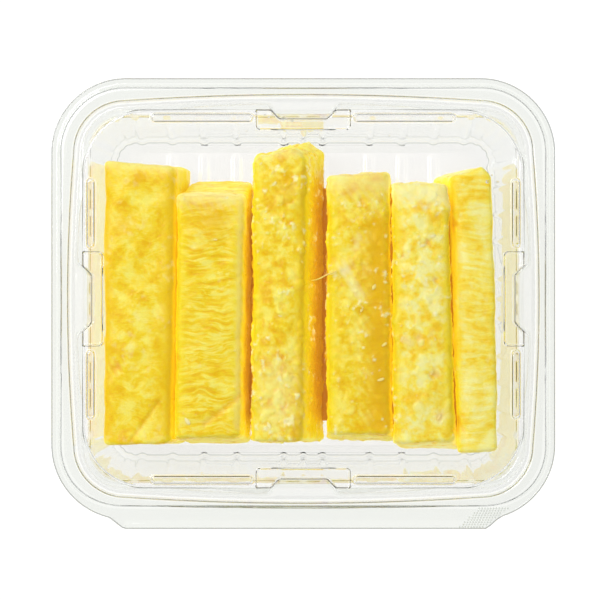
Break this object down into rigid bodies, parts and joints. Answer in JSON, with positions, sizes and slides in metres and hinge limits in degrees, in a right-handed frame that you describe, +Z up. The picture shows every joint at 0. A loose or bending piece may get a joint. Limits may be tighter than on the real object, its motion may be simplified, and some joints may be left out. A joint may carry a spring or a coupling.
{
  "type": "boxed pineapple spears",
  "caption": "Clear formed tray with its lid shut and a tear flange along the front, holding peeled pineapple spears side by side.",
  "frame": {"origin": "centre of the bounding box in X and Y, at the underside of the tray's floor", "axes": "+X across the spears to the right, +Y to the back, away from the tear flange, +Z up"},
  "size_m": [0.185, 0.1656, 0.0482],
  "materials": {
    "tub_sheet": "clear glossy formed sheet",
    "lid_sheet": "clear glossy formed sheet",
    "spear_1_flesh": "moist smooth cut flesh",
    "spear_2_flesh": "moist fibrous cut flesh",
    "spear_3_flesh": "moist rough peeled flesh",
    "spear_4_flesh": "moist rough peeled flesh",
    "spear_5_flesh": "moist rough peeled flesh",
    "spear_6_flesh": "moist smooth cut flesh"
  },
  "bodies": {
    "root": {"tub": "tub_sheet", "lid": "lid_sheet", "spear_1": "spear_1_flesh", "spear_2": "spear_2_flesh", "spear_3": "spear_3_flesh", "spear_4": "spear_4_flesh", "spear_5": "spear_5_flesh", "spear_6": "spear_6_flesh"}
  },
  "joints": []
}
